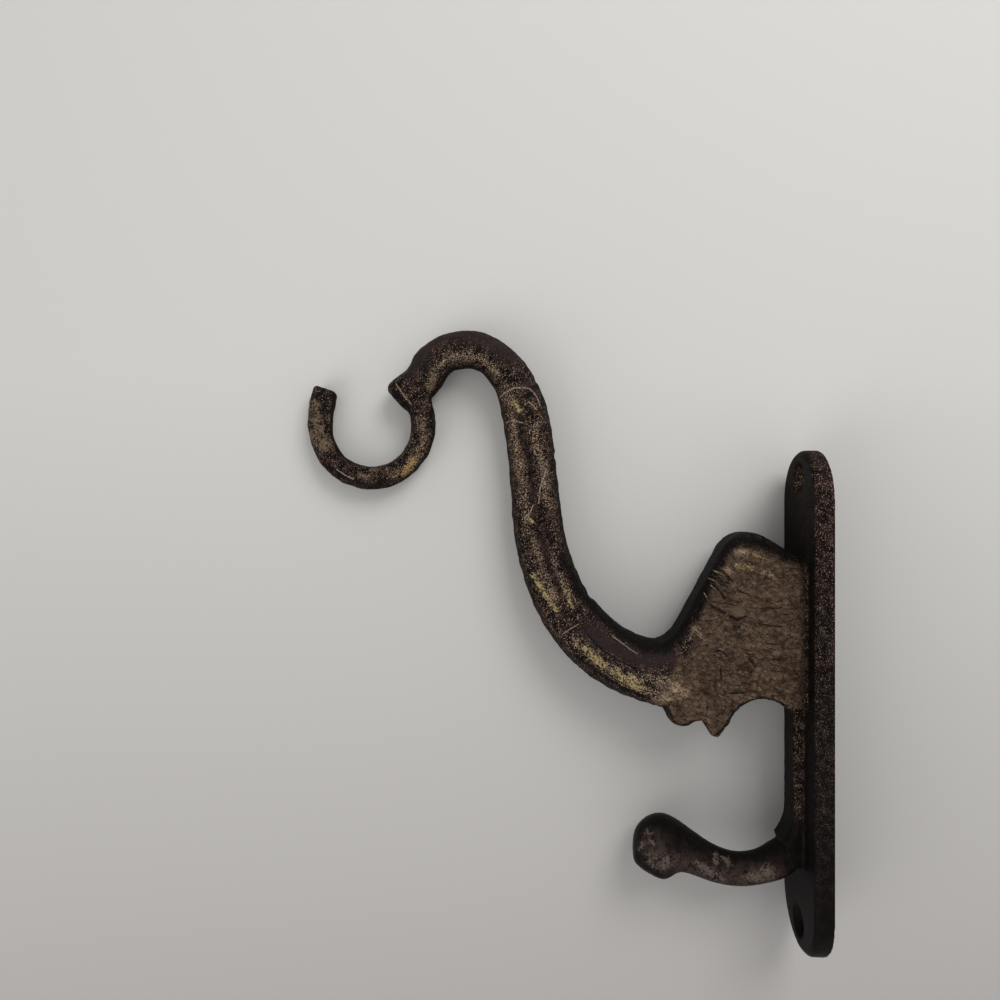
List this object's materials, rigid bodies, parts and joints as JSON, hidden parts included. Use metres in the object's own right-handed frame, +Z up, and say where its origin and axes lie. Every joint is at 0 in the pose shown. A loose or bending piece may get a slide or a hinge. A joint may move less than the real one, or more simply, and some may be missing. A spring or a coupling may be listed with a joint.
{
  "type": "wall hook",
  "caption": "Cast wall hook shaped as an elephant's head: the raised trunk curls over into an open ring, a short knobbed hook stands below the jaw, on a screw plate with rounded ends.",
  "frame": {"origin": "centre of the screw plate's back face, on the wall", "axes": "+Y into the wall, +Z up along the plate, X across the casting, which is alike on both sides of X = 0"},
  "size_m": [0.026, 0.1313, 0.1577],
  "materials": {
    "patinated_brass": "old dark brown patina on cast brass, worn to a dull gold on the ridges"
  },
  "bodies": {
    "root": {"hook_casting": "patinated_brass"}
  },
  "joints": []
}
